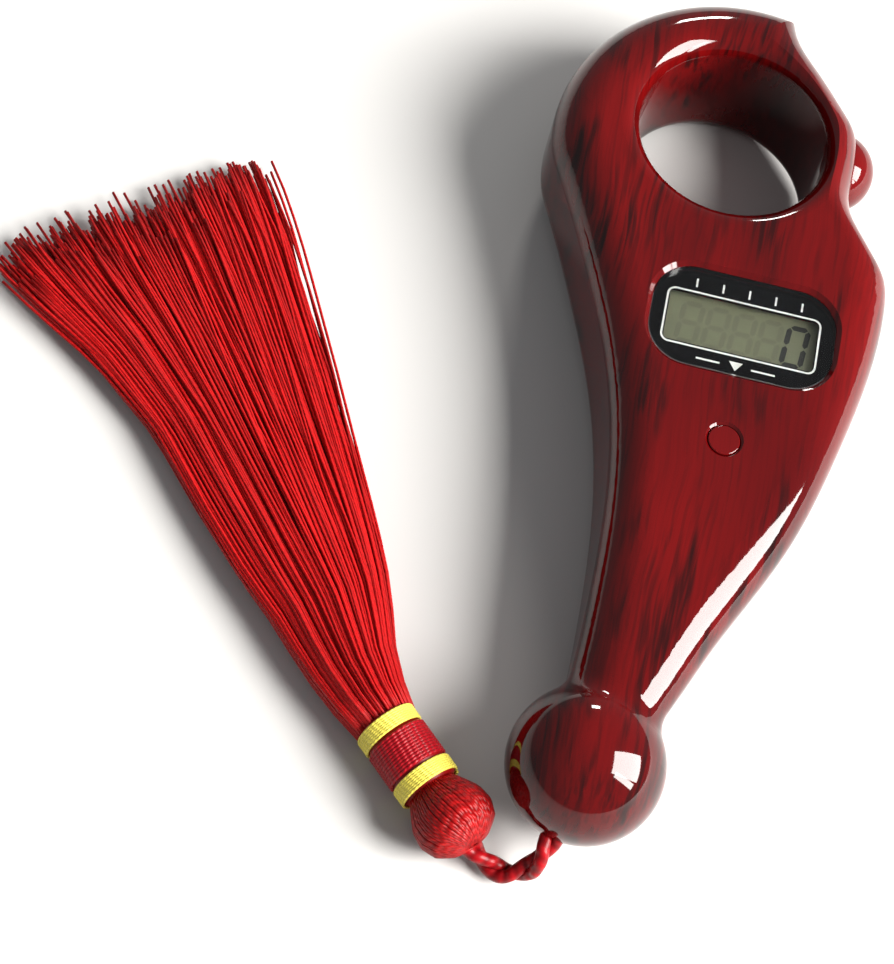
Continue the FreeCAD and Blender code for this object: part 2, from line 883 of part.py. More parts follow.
def screws():
    case = []
    seat = screw_recess + screw_head_height
    kind = (screw_head_radius, screw_head_height, screw_shank_radius, screw_length)
    for across, along in case_screw_places:
        case.append(screw(*kind, across, along, seat))
    board = []
    for across, along in board_screw_places:
        board.append(
            screw(
                board_screw_head_radius, board_screw_head_height, board_screw_shank_radius,
                board_screw_length + board_thickness - 0.3, across, along, board_low,
            )
        )
    cover = screw(
        cover_screw_head_radius, cover_screw_head_height, screw_thread_radius, cover_screw_length,
        cell_across, cover_screw_along, cover_screw_seat,
    )
    return {
        "case_screws": Part.makeCompound(case),
        "board_screws": Part.makeCompound(board),
        "cover_screw": cover,
    }


# Power


def strip(points, thickness, width, along):
    """A bent metal strip: points are (across, height) of its lower side."""
    low = [Vector(across, along - width / 2, height) for across, height in points]
    high = [point + Vector(0, 0, thickness) for point in reversed(low)]
    return Part.Face(Part.makePolygon(low + high + [low[0]])).extrude(Vector(0, width, 0))


def power_parts():
    pieces = {}
    cover = rounded_plate(
        cell_across, cover_along, cover_width, cover_height, cover_corner, 0, cover_thickness
    )
    head_space = cylinder(
        cover_screw_head_radius + fit_gap, -1, cover_screw_seat, cell_across, cover_screw_along
    )
    shank_space = cylinder(screw_thread_radius + fit_gap, -1, 3, cell_across, cover_screw_along)
    pieces["battery_cover"] = cover.cut([head_space, shank_space])
    can = cylinder(cell_radius, cell_low, cell_top - 0.4, cell_across, cell_along)
    ring = cylinder(cell_radius - 0.7, cell_top - 0.4, cell_top - 0.2, cell_across, cell_along)
    cap = cylinder(cell_radius - 1.2, cell_top - 0.2, cell_top, cell_across, cell_along)
    pieces["button_cell"] = one_solid(can.fuse([ring, cap]))
    high = board_low - contact_thickness
    reach = cell_radius + 0.9
    leaf = [
        (cell_across - reach - 1.5, high),
        (cell_across - reach + 1.2, high),
        (cell_across - 1.0, cell_top),
        (cell_across + 1.0, cell_top),
    ]
    pieces["negative_contact"] = strip(leaf, contact_thickness, contact_width, cell_along)
    side = cell_across + cell_radius
    upright = block(
        side + contact_thickness / 2, cell_along, contact_thickness, contact_width,
        cover_thickness + bay_floor + 0.2, board_low,
    )
    foot = block(side + 1.2, cell_along, 2.4, contact_width, high, board_low)
    pieces["positive_contact"] = one_solid(upright.fuse(foot))
    return pieces


# Cord and tassel


def tassel_parts():
    pieces = {}
    places = cord_places()
    cord, radii, length = tube_along(places, cord_radius)
    print("cord arc radii", radii)
    share = cord.Volume / (math.pi * cord_radius**2 * length)
    print("cord length", round(length, 2), "volume share", round(share, 3))
    pieces["cord"] = cord
    passage = tube_along(places, cord_radius + slip_gap)[0]
    pieces["cord_knot"] = Part.makeSphere(knot_radius, places[0]).cut(passage)
    base = Vector(ball_centre.x, ball_centre.y, 0)
    start = base + tassel_start
    end = base + binding_end
    way = end - start
    total = way.Length
    knob = head_knob_length
    crown = head_knob_radius
    profile = [
        (0, 0.24 * crown),
        (0.06 * knob, 0.55 * crown),
        (0.2 * knob, 0.85 * crown),
        (0.4 * knob, crown),
        (0.62 * knob, 0.97 * crown),
        (0.84 * knob, 0.8 * crown),
        (knob, binding_core_radius),
        (total, binding_core_radius),
    ]
    pieces["tassel_head"] = one_solid(revolved(profile, start, way).cut(passage))
    red_width = total - knob - 2 * gold_width
    low = knob
    bindings = (
        ("lower_gold_binding", gold_width),
        ("red_binding", red_width),
        ("upper_gold_binding", gold_width),
    )
    for name, width in bindings:
        ring = Part.makeCylinder(binding_radius, width).cut(
            Part.makeCylinder(binding_core_radius, width)
        )
        ring.Placement = FreeCAD.Placement(start + way * (low / total), FreeCAD.Rotation(up, way))
        pieces[name] = ring
        low += width
    tip_end = base + tassel_tip
    fan_way = tip_end - end
    sections = []
    for share, half_width, half_height in (
        (0.0, binding_radius * 0.95, binding_radius * 0.95),
        (0.22, binding_radius * 1.75, binding_radius * 0.86),
        (0.6, skirt_end_half_width * 0.67, binding_radius * 0.68),
        (1.0, skirt_end_half_width, skirt_end_half_height),
    ):
        oval = Part.Ellipse(Vector(), half_width, half_height).toShape()
        facing = way if share == 0 else Vector(fan_way.x, fan_way.y, 0)
        turned = FreeCAD.Rotation(Vector(facing.y, -facing.x, 0), up, facing, "ZXY")
        oval.Placement = FreeCAD.Placement(end + fan_way * share, turned)
        sections.append(Part.Wire(oval))
    pieces["tassel_skirt"] = one_solid(Part.makeLoft(sections, True).cut(passage))
    return pieces


# Assembly

on_cord = (
    "cord",
    "cord_knot",
    "tassel_head",
    "lower_gold_binding",
    "red_binding",
    "upper_gold_binding",
    "tassel_skirt",
)


def build():
    body = outer_body()
    space = hollow()
    nodes = {"front_shell": front_shell(body, space), "rear_shell": rear_shell(body, space)}
    for make in (display, board_parts, reset_parts, count_parts, power_parts, screws, tassel_parts):
        nodes.update(make())
    whole = FreeCAD.BoundBox()
    for name, shape in nodes.items():
        if name not in on_cord:
            whole.add(shape.optimalBoundingBox(False))
    shift = Vector(-whole.Center.x, -whole.Center.y, -whole.ZMin)
    os.makedirs("parts", exist_ok=True)
    for name, shape in nodes.items():
        shape.translate(shift)
        shape.exportStep("parts/" + name + ".step")
        print(name, len(shape.Solids), "solid", round(shape.Volume, 2), "valid", shape.isValid())
    print("moved by", [round(value, 4) for value in shift])
    print("body size", [round(value, 2) for value in (whole.XLength, whole.YLength, whole.ZLength)])


build()
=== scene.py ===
import json
import math
import random

import bpy
import numpy as np
from mathutils import Matrix, Quaternion, Vector


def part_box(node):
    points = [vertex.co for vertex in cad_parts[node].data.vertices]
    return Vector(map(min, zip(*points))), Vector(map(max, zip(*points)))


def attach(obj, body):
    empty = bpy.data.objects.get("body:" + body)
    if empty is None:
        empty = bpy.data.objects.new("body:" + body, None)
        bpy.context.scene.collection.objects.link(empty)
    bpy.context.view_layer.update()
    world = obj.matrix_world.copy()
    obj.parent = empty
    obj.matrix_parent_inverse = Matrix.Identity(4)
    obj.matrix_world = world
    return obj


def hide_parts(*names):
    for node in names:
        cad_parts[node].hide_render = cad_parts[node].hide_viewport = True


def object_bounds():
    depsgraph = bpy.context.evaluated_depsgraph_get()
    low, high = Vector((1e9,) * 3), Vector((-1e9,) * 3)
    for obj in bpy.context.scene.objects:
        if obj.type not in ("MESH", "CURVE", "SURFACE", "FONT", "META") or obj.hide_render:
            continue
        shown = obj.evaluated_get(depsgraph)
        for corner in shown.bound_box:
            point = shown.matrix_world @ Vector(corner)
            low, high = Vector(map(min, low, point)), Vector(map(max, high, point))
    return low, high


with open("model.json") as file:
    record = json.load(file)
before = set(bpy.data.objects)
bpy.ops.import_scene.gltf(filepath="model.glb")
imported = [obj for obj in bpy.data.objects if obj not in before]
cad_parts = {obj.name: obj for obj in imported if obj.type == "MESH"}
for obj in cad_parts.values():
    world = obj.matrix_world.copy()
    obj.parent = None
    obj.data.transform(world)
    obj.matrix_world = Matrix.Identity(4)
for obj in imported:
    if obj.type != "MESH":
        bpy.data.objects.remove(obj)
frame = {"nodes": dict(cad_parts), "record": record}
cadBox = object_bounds()
nodes = frame["nodes"]
upWay = Vector((0, 0, 1))
print("frame loaded:", len(nodes), "nodes")

# camera: places are in metres, the lens and its sensor in millimetres

cameraSetup = {
    "place": Vector((-0.02838, -0.12617, 0.22440)),
    "right": Vector((0.9730, 0.1910, 0.1310)),
    "up": Vector((-0.2300, 0.8680, 0.4410)),
    "lens": 93.36,
    "sensor": 36.0,
    "nearest": 0.01,
}


def addCamera(setup):
    right = setup["right"].normalized()
    up = (setup["up"] - right * setup["up"].dot(right)).normalized()
    back = right.cross(up)
    turn = Matrix((right, up, back)).transposed().to_4x4()
    data = bpy.data.cameras.new("mainCamera")
    data.lens = setup["lens"]
    data.sensor_width = setup["sensor"]
    data.clip_start = setup["nearest"]
    camera = bpy.data.objects.new("mainCamera", data)
    camera.matrix_world = Matrix.Translation(setup["place"]) @ turn
    bpy.context.scene.collection.objects.link(camera)
    bpy.context.scene.camera = camera
    bpy.context.scene.view_settings.view_transform = "Standard"
    print("camera placed")


addCamera(cameraSetup)

# material helpers


def newMaterial(name, colour, roughness, **sockets):
    # a Principled material, its shader's own sockets set from the call
    material = bpy.data.materials.new(name)
    material.use_nodes = True
    shader = material.node_tree.nodes["Principled BSDF"]
    shader.inputs["Base Color"].default_value = (*colour, 1)
    shader.inputs["Roughness"].default_value = roughness
    for socket, value in sockets.items():
        shader.inputs[socket.replace("_", " ")].default_value = value
    return material, shader


def addNode(material, kind, **values):
    node = material.node_tree.nodes.new(kind)
    for name, value in values.items():
        setattr(node, name, value)
    return node


def join(material, start, end):
    material.node_tree.links.new(start, end)


def placed(material, scale, kind="Object", source=None):
    # the surface's own coordinates, or a source's, stretched by scale
    if source is None:
        source = addNode(material, "ShaderNodeTexCoord").outputs[kind]
    mapping = addNode(material, "ShaderNodeMapping")
    mapping.inputs["Scale"].default_value = scale
    join(material, source, mapping.inputs["Vector"])
    return mapping.outputs["Vector"]


def noiseOn(material, scale, detail=3.0, roughness=0.55, source=None):
    noise = addNode(material, "ShaderNodeTexNoise")
    noise.inputs["Scale"].default_value = 1.0
    noise.inputs["Detail"].default_value = detail
    noise.inputs["Roughness"].default_value = roughness
    join(material, placed(material, scale, source=source), noise.inputs["Vector"])
    return noise


def rampFrom(material, source, stops):
    # stops are (position, colour or grey)
    ramp = addNode(material, "ShaderNodeValToRGB")
    elements = ramp.color_ramp.elements
    while len(elements) < len(stops):
        elements.new(0.5)
    for element, (position, value) in zip(elements, stops):
        element.position = position
        tone = value if isinstance(value, tuple) else (value, value, value)
        element.color = (*tone, 1)
    join(material, source, ramp.inputs["Fac"])
    return ramp.outputs["Color"]


def mixColours(material, share, low, high, how="MIX"):
    # share, low and high are each a socket, a colour or a number
    mix = addNode(material, "ShaderNodeMix", data_type="RGBA", blend_type=how)
    for socket, value in ((mix.inputs["Factor"], share), (mix.inputs[6], low), (mix.inputs[7], high)):
        if isinstance(value, bpy.types.NodeSocket):
            join(material, value, socket)
        elif isinstance(value, tuple):
            socket.default_value = (*value, 1)
        else:
            socket.default_value = value
    return mix.outputs[2]


def bumpFrom(material, shader, height, strength, distance):
    bump = addNode(material, "ShaderNodeBump")
    bump.inputs["Strength"].default_value = strength
    bump.inputs["Distance"].default_value = distance
    join(material, height, bump.inputs["Height"])
    join(material, bump.outputs["Normal"], shader.inputs["Normal"])


# rosewood-look plastic of the shells and buttons

rosewood = {
    "red": (0.084, 0.0014, 0.0016),
    "deepRed": (0.040, 0.0009, 0.0012),
    "brown": (0.0080, 0.0013, 0.0014),
    "roughness": 0.05,
    "ior": 1.39,
    "wander": 0.0034,  # how far the marks stray across the grain
    "wanderScale": (60, 40, 60),
    "patch": (75, 24, 60),
    "patchStops": [(0.36, 0.0), (0.66, 1.0)],
    "streak": (1150, 70, 330),
    "streakStops": [(0.49, 0.0), (0.60, 0.75), (0.70, 1.0)],
    "grain": (2100, 120, 600),
    "grainStops": [(0.50, 0.0), (0.64, 0.9)],
    "fibre": (3200, 70, 900),
    "fibreStops": [(0.45, 0.0), (0.75, 0.35)],
    "cluster": (170, 55, 90),
    "streakCluster": (0.44, 0.58),
    "grainCluster": (0.30, 0.55),
    "grainBetween": 0.05,
    "grainWithin": 0.55,
}
rosewoodButton = {"brightness": 1.15, "streakShare": 0.2}


def rosewoodMaterial(name, setup, brightness=1.0, streakShare=1.0):
    # long soft dark streaks in clusters over a patchy red, along the grip
    tones = {key: tuple(part * brightness for part in setup[key]) for key in ("red", "deepRed", "brown")}
    material, shader = newMaterial(name, tones["red"], setup["roughness"], IOR=setup["ior"])
    patch = noiseOn(material, setup["patch"], detail=2.0)
    share = rampFrom(material, patch.outputs["Fac"], setup["patchStops"])
    base = mixColours(material, share, tones["red"], tones["deepRed"])
    wander = noiseOn(material, setup["wanderScale"], detail=2.0)
    where = addNode(material, "ShaderNodeTexCoord")
    shift = addNode(material, "ShaderNodeVectorMath", operation="MULTIPLY_ADD")
    join(material, wander.outputs["Color"], shift.inputs[0])
    shift.inputs[1].default_value = (setup["wander"], 0, setup["wander"])
    join(material, where.outputs["Object"], shift.inputs[2])
    marks = {}
    for key in ("streak", "grain", "fibre"):
        noise = noiseOn(material, setup[key], detail=2.0, roughness=0.5, source=shift.outputs["Vector"])
        marks[key] = rampFrom(material, noise.outputs["Fac"], setup[key + "Stops"])
    gate = noiseOn(material, setup["cluster"], detail=3.0)
    first, full = setup["streakCluster"]
    streakGate = rampFrom(material, gate.outputs["Fac"], [(first, 0.0), (full, streakShare)])
    first, full = setup["grainCluster"]
    stops = [(first, setup["grainBetween"]), (full, setup["grainWithin"] * streakShare)]
    grainGate = rampFrom(material, gate.outputs["Fac"], stops)
    dark = mixColours(material, 1.0, marks["streak"], streakGate, "MULTIPLY")
    short = mixColours(material, 1.0, marks["grain"], grainGate, "MULTIPLY")
    base = mixColours(material, marks["fibre"], base, tones["deepRed"])
    base = mixColours(material, short, base, tones["brown"])
    base = mixColours(material, dark, base, tones["brown"])
    join(material, base, shader.inputs["Base Color"])
    return material


# small parts' finishes: grain is how often the pattern repeats per metre, change how much it darkens

plainFinishes = {
    "mask": dict(colour=(0.0015, 0.0015, 0.002), roughness=0.2, grain=(900, 900, 900), change=0.3, ior=1.15),
    "film": dict(colour=(0.128, 0.132, 0.082), roughness=0.35, grain=(500, 500, 500), change=0.08),
    "reflector": dict(colour=(0.30, 0.33, 0.25), roughness=0.4, grain=(500, 500, 500), change=0.1),
    "strip": dict(colour=(0.05, 0.05, 0.055), roughness=0.7, grain=(3000, 50, 50), change=0.6),
    "pad": dict(colour=(0.35, 0.34, 0.30), roughness=0.8, grain=(1500, 1500, 1500), change=0.3),
    "board": dict(colour=(0.012, 0.090, 0.035), roughness=0.35, grain=(800, 800, 800), change=0.25),
    "chip": dict(colour=(0.008, 0.008, 0.008), roughness=0.3, grain=(600, 600, 600), change=0.4),
    "ceramic": dict(colour=(0.28, 0.19, 0.11), roughness=0.5, grain=(2000, 2000, 2000), change=0.3),
    "switch_body": dict(colour=(0.012, 0.012, 0.013), roughness=0.45, grain=(1500, 1500, 1500), change=0.4),
    "switch_stem": dict(colour=(0.55, 0.52, 0.45), roughness=0.5, grain=(1500, 1500, 1500), change=0.15),
    "wire": dict(colour=(0.25, 0.01, 0.01), roughness=0.35, grain=(900, 900, 900), change=0.3),
}
metalFinishes = {
    "sheet": dict(colour=(0.62, 0.61, 0.58), roughness=0.28, grain=(300, 6000, 300)),
    "screw": dict(colour=(0.50, 0.50, 0.52), roughness=0.30, grain=(2500, 2500, 400)),
    "cell": dict(colour=(0.63, 0.63, 0.65), roughness=0.22, grain=(4000, 300, 4000)),
}
glassFinishes = {
    "window": dict(name="clearWindow", colour=(0.97, 0.98, 0.97), ior=1.30),
    "cell_glass": dict(name="cellGlass", colour=(0.88, 0.95, 0.90), ior=1.5),
}


def plainMaterial(name, colour, roughness, grain, change, ior=1.45):
    material, shader = newMaterial(name, colour, roughness, IOR=ior)
    noise = noiseOn(material, grain, detail=3.0)
    tone = rampFrom(material, noise.outputs["Fac"], [(0.35, 1 - change), (0.65, 1.0)])
    join(material, mixColours(material, 1.0, colour, tone, "MULTIPLY"), shader.inputs["Base Color"])
    bumpFrom(material, shader, noise.outputs["Fac"], strength=0.15, distance=0.00003)
    return material


def metalMaterial(name, colour, roughness, grain):
    material, shader = newMaterial(name, colour, roughness, Metallic=1.0)
    noise = noiseOn(material, grain, detail=2.0)
    rough = rampFrom(material, noise.outputs["Fac"], [(0.3, roughness * 0.7), (0.7, roughness * 1.5)])
    join(material, rough, shader.inputs["Roughness"])
    bumpFrom(material, shader, noise.outputs["Fac"], strength=0.1, distance=0.00002)
    return material


def glassMaterial(name, colour, ior):
    material, _ = newMaterial(name, colour, 0.02, Transmission_Weight=1.0, IOR=ior)
    return material


def setFinish(node, material):
    mesh = nodes[node].data
    mesh.materials.clear()
    mesh.materials.append(material)


finishes = {
    "shell": rosewoodMaterial("rosewoodShell", rosewood),
    "button": rosewoodMaterial("rosewoodButton", rosewood, **rosewoodButton),
}
for slot, setup in plainFinishes.items():
    finishes[slot] = plainMaterial(slot + "Finish", **setup)
for slot, setup in metalFinishes.items():
    finishes[slot] = metalMaterial(slot + "Finish", **setup)
for slot, setup in glassFinishes.items():
    finishes[slot] = glassMaterial(**setup)
hardParts = [part for part in frame["record"]["subparts"] if part["material_slot"] in finishes]
for part in hardParts:
    setFinish(part["node"], finishes[part["material_slot"]])
print("finishes set on", len(hardParts), "nodes")

# mesh helpers


def meshPiece(name, points, faces, material, slot, replaced=(), smooth=True):
    mesh = bpy.data.meshes.new(name)
    mesh.from_pydata([tuple(point) for point in points], [], faces)
    mesh.materials.append(material)
    for polygon in mesh.polygons:
        polygon.use_smooth = smooth
    piece = bpy.data.objects.new(name, mesh)
    bpy.context.scene.collection.objects.link(piece)
    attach(piece, "body")
    if replaced:
        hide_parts(*replaced)
    return piece


class Tubes:
    # many closed tubes in one mesh, each with its own tone and a map along its length
    firstAcross = (0.31, 0.17, 0.93)  # any direction that no tube starts along
    mapShift = 0.1  # each tube's map starts at its own place, by its tone
    capRise = 0.5  # height of the pointed ends, as a share of the radius

    def __init__(self, sides):
        self.sides = sides
        self.points, self.faces, self.tones, self.maps = [], [], [], []

    def add(self, path, radii, tone):
        path = np.asarray(path, float)
        steps = len(path)
        ways = np.gradient(path, axis=0)
        ways /= np.linalg.norm(ways, axis=1)[:, None]
        across = np.cross(ways[0], self.firstAcross)
        across /= np.linalg.norm(across)
        start = len(self.points)
        lengths = np.r_[0, np.cumsum(np.linalg.norm(np.diff(path, axis=0), axis=1))]
        lengths += self.mapShift * tone
        for index in range(steps):
            across = across - ways[index] * (across @ ways[index])
            across /= np.linalg.norm(across)
            other = np.cross(ways[index], across)
            for side in range(self.sides):
                angle = 2 * math.pi * side / self.sides
                offset = (across * math.cos(angle) + other * math.sin(angle)) * radii[index]
                self.points.append(path[index] + offset)
                self.tones.append(tone)
        for index in range(steps - 1):
            low = start + index * self.sides
            high = low + self.sides
            v0, v1 = lengths[index], lengths[index + 1]
            for side in range(self.sides):
                after = (side + 1) % self.sides
                self.faces.append((low + side, low + after, high + after, high + side))
                u0, u1 = side / self.sides, (side + 1) / self.sides
                self.maps += [(u0, v0), (u1, v0), (u1, v1), (u0, v1)]
        self.addCap(start, path[0] - ways[0] * radii[0] * self.capRise, tone, lengths[0], True)
        last = start + (steps - 1) * self.sides
        self.addCap(last, path[-1] + ways[-1] * radii[-1] * self.capRise, tone, lengths[-1], False)

    def addCap(self, ring, top, tone, length, atStart):
        centre = len(self.points)
        self.points.append(top)
        self.tones.append(tone)
        for side in range(self.sides):
            after = (side + 1) % self.sides
            pair = (ring + after, ring + side) if atStart else (ring + side, ring + after)
            self.faces.append((*pair, centre))
            self.maps += [(0, length), (0.1, length), (0.05, length)]

    def piece(self, name, material, slot, replaced):
        made = meshPiece(name, self.points, self.faces, material, slot, replaced)
        attribute = made.data.attributes.new("tone", "FLOAT", "POINT")
        attribute.data.foreach_set("value", self.tones)
        layer = made.data.uv_layers.new(name="alongThread")
        layer.data.foreach_set("uv", [value for pair in self.maps for value in pair])
        return made


# silk and gold thread: ply is the length of one twist; the last setting of each is how light the painted
# shade in the twist's grooves stays

threadFinishes = {
    "redSilk": dict(
        light=(0.37, 0.0026, 0.0030), dark=(0.24, 0.0016, 0.0020), roughness=0.55, ply=0.0010, paintedGrooveShade=0.84
    ),
    "headSilk": dict(
        light=(0.30, 0.0020, 0.0025), dark=(0.17, 0.0012, 0.0016), roughness=0.42, ply=0.0009, paintedGrooveShade=0.62
    ),
    "cordSilk": dict(
        light=(0.30, 0.003, 0.006), dark=(0.13, 0.0015, 0.003), roughness=0.35, ply=0.0012, paintedGrooveShade=0.60
    ),
    "bindingSilk": dict(
        light=(0.34, 0.004, 0.010), dark=(0.18, 0.002, 0.005), roughness=0.38, ply=0.00061, paintedGrooveShade=0.72
    ),
    "goldThread": dict(
        light=(0.80, 0.69, 0.11), dark=(0.40, 0.31, 0.035), roughness=0.36, ply=0.00053, paintedGrooveShade=0.80
    ),
}
threadTwist = {
    "ior": 1.28,
    "uneven": (500, 500, 500),
    "unevenShare": 0.35,
    "bands": 0.63,
    "distortion": 0.8,
    "bump": 1.3,
    "bumpHeight": 0.00016,
}


def threadMaterial(name, twist, light, dark, roughness, ply, paintedGrooveShade):
    material, shader = newMaterial(name, light, roughness, IOR=twist["ior"])
    tone = addNode(material, "ShaderNodeAttribute", attribute_name="tone")
    uneven = noiseOn(material, twist["uneven"], detail=2.0)
    share = mixColours(material, twist["unevenShare"], tone.outputs["Fac"], uneven.outputs["Fac"])
    ramp = rampFrom(material, share, [(0.2, dark), (0.75, light)])
    wave = addNode(material, "ShaderNodeTexWave", bands_direction="DIAGONAL")
    wave.inputs["Scale"].default_value = twist["bands"]
    wave.inputs["Distortion"].default_value = twist["distortion"]
    join(material, placed(material, (1.0, 1.0 / ply, 1.0), "UV"), wave.inputs["Vector"])
    # painted shade: the wave's low bands darken the colour along the twist's grooves, no darker than the
    # groove setting
    shade = rampFrom(material, wave.outputs["Fac"], [(0.0, paintedGrooveShade), (0.6, 1.0)])
    join(material, mixColours(material, 1.0, ramp, shade, "MULTIPLY"), shader.inputs["Base Color"])
    bumpFrom(material, shader, wave.outputs["Fac"], twist["bump"] * (1 - paintedGrooveShade), twist["bumpHeight"])
    return material


threads = {name: threadMaterial(name, threadTwist, **setup) for name, setup in threadFinishes.items()}
setFinish("cord_knot", threads["redSilk"])
print("threads made:", len(threads), "kinds")

# cord: its route first, then two twisted strands along it

cord = {
    "route": [
        (-0.00380, -0.04335, 0.0069),
        (-0.00480, -0.04815, 0.0052),
        (-0.00575, -0.04915, 0.0026),
        (-0.00785, -0.04975, 0.0010),
        (-0.01035, -0.04875, 0.0018),
        (-0.01245, -0.04785, 0.0035),
        (-0.01615, -0.04465, 0.0042),
        (-0.02015, -0.04035, 0.0036),
        (-0.02515, -0.03395, 0.0034),
    ],
    "exit": (-0.00453, -0.04684, 0.00566),
    "length": 0.0349,
    "diameter": 0.0018,
    "pitch": 0.0072,
    "strand": 0.00066,
    "apart": 0.00048,
    "steps": 220,
}


def alongSpline(points, steps):
    # places at even steps on the smooth line through the route, and its length
    curve = bpy.data.curves.new("routeLine", "CURVE")
    curve.dimensions = "3D"
    curve.resolution_u = 48
    spline = curve.splines.new("NURBS")
    spline.points.add(len(points) - 1)
    for knot, point in zip(spline.points, points):
        knot.co = (*point, 1)
    spline.order_u = 3
    spline.use_endpoint_u = True
    line = bpy.data.objects.new("routeLine", curve)
    mesh = bpy.data.meshes.new_from_object(line)
    found = np.array([vertex.co for vertex in mesh.vertices], float)
    bpy.data.objects.remove(line)
    bpy.data.meshes.remove(mesh)
    reach = np.r_[0, np.cumsum(np.linalg.norm(np.diff(found, axis=0), axis=1))]
    even = np.linspace(0, reach[-1], steps)
    return np.array([np.interp(even, reach, found[:, axis]) for axis in range(3)]).T, reach[-1]


def makeCord(setup):
    line, length = alongSpline(setup["route"], setup["steps"])
    ways = np.gradient(line, axis=0)
    ways /= np.linalg.norm(ways, axis=1)[:, None]
    sideways = np.cross(ways, (0, 0, 1))
    sideways /= np.linalg.norm(sideways, axis=1)[:, None]
    above = np.cross(sideways, ways)
    reach = np.linspace(0, length, len(line))
    tubes = Tubes(10)
    for strand in (0, 1):
        turn = 2 * math.pi * reach / setup["pitch"] + strand * math.pi
        path = line + (sideways * np.cos(turn)[:, None] + above * np.sin(turn)[:, None]) * setup["apart"]
        tubes.add(path, [setup["strand"]] * len(path), 0.45 + 0.15 * strand)
    piece = tubes.piece("cordTwist", threads["cordSilk"], "red_cord", ["cord"])
    print("cord made, length", round(length, 4))
    return piece, line


cordPiece, cordLine = makeCord(cord)

# tassel: head, bindings and skirt

tassel = {
    "start": Vector((-0.01155, -0.04865, 0.00415)),
    "bindingEnd": Vector((-0.02195, -0.03855, 0.00350)),
    "tip": Vector((-0.05845, 0.00985, 0.00170)),
    "knobLength": 0.0066,
    "knobRadius": 0.00405,
    # shares of the knob's length and radius: the threads' outside, then the core under them
    "profile": [
        (0.0, 0.22), (0.06, 0.56), (0.2, 0.87), (0.4, 0.99),
        (0.62, 0.95), (0.84, 0.78), (1.0, 0.64), (1.08, 0.60),
    ],
    "core": [(0.02, 0.12), (0.08, 0.46), (0.2, 0.77), (0.4, 0.92), (0.62, 0.89), (0.84, 0.72), (1.0, 0.60)],
    "coreRadius": 0.00292,
    "ribs": 76,
    "ribRadius": 0.00023,
    "ribSteps": 26,
    "ribLean": 0.35,
}
bindings = {
    "radius": 0.0032,
    "goldWidth": 0.0019,
    "goldTurns": 7,
    "redTurns": 12,
    "slant": 0.00005,
    "overlap": 1.18,
    "stepsPerTurn": 44,
}


def axisFrame(holder):
    # the head's own directions: along it, to its side and above it
    way = (holder["bindingEnd"] - holder["start"]).normalized()
    side = Vector((way.y, -way.x, 0)).normalized()
    return way, side, way.cross(side)


def makeHead(setup):
    way, side, above = axisFrame(setup)
    start, knob, radius, thick = setup["start"], setup["knobLength"], setup["knobRadius"], setup["ribRadius"]
    along = np.array([share for share, _ in setup["profile"]]) * knob
    wide = np.array([share for _, share in setup["profile"]]) * radius
    steps = np.linspace(0, 1, setup["ribSteps"]) ** 0.9
    radii = [thick * (0.55 + 0.55 * math.sin(math.pi * min(1, 0.15 + step))) for step in steps]
    tubes = Tubes(6)
    draw = random.Random(4)
    for rib in range(setup["ribs"]):
        angle = 2 * math.pi * (rib + draw.uniform(-0.25, 0.25)) / setup["ribs"]
        path = []
        for step in steps:
            reach = step * along[-1]
            out = np.interp(reach, along, wide) - thick
            turned = angle + setup["ribLean"] * (1 - step) ** 2
            around = side * math.cos(turned) + above * math.sin(turned)
            path.append(start + way * reach + around * out)
        tubes.add(path, radii, draw.uniform(0.25, 0.8))
    path = [start + way * knob * share for share, _ in setup["core"]]
    path += [start + way * knob * 1.05, setup["bindingEnd"]]
    tubes.sides = 24
    radii = [radius * share for _, share in setup["core"]] + [setup["coreRadius"]] * 2
    tubes.add(path, radii, 0.35)
    print("tassel head made:", setup["ribs"], "ribs")
    return tubes.piece("tasselHeadKnot", threads["headSilk"], "red_cord", ["tassel_head"])


def makeWinding(name, material, slot, node, low, high, turns, setup, holder):
    # one thread wound round the tassel from low to high
    way, side, above = axisFrame(holder)
    thick = (high - low) / turns / 2 * setup["overlap"]
    out = setup["radius"] - thick
    steps = turns * setup["stepsPerTurn"]
    path = []
    for step in range(steps + 1):
        angle = 2 * math.pi * turns * step / steps
        reach = low + thick + (high - low - 2 * thick) * step / steps + setup["slant"] * math.sin(angle)
        around = side * math.cos(angle) + above * math.sin(angle)
        path.append(holder["start"] + way * reach + around * out)
    tubes = Tubes(8)
    tubes.add(path, [thick] * len(path), 0.6)
    return tubes.piece(name, material, slot, [node])


def makeBindings(setup, holder):
    low, high = holder["knobLength"], (holder["bindingEnd"] - holder["start"]).length
    firstSeam, lastSeam = low + setup["goldWidth"], high - setup["goldWidth"]
    made = []
    for name, silk, slot, node, start, end, turns in (
        ("lowerGoldWinding", "goldThread", "gold_cord", "lower_gold_binding", low, firstSeam, "goldTurns"),
        ("redWinding", "bindingSilk", "red_cord", "red_binding", firstSeam, lastSeam, "redTurns"),
        ("upperGoldWinding", "goldThread", "gold_cord", "upper_gold_binding", lastSeam, high, "goldTurns"),
    ):
        made.append(makeWinding(name, threads[silk], slot, node, start, end, setup[turns], setup, holder))
    print("bindings made:", len(made))
    return made


# a strand's length is a share of the way from the bindings to the tip, its place across from -1 to 1

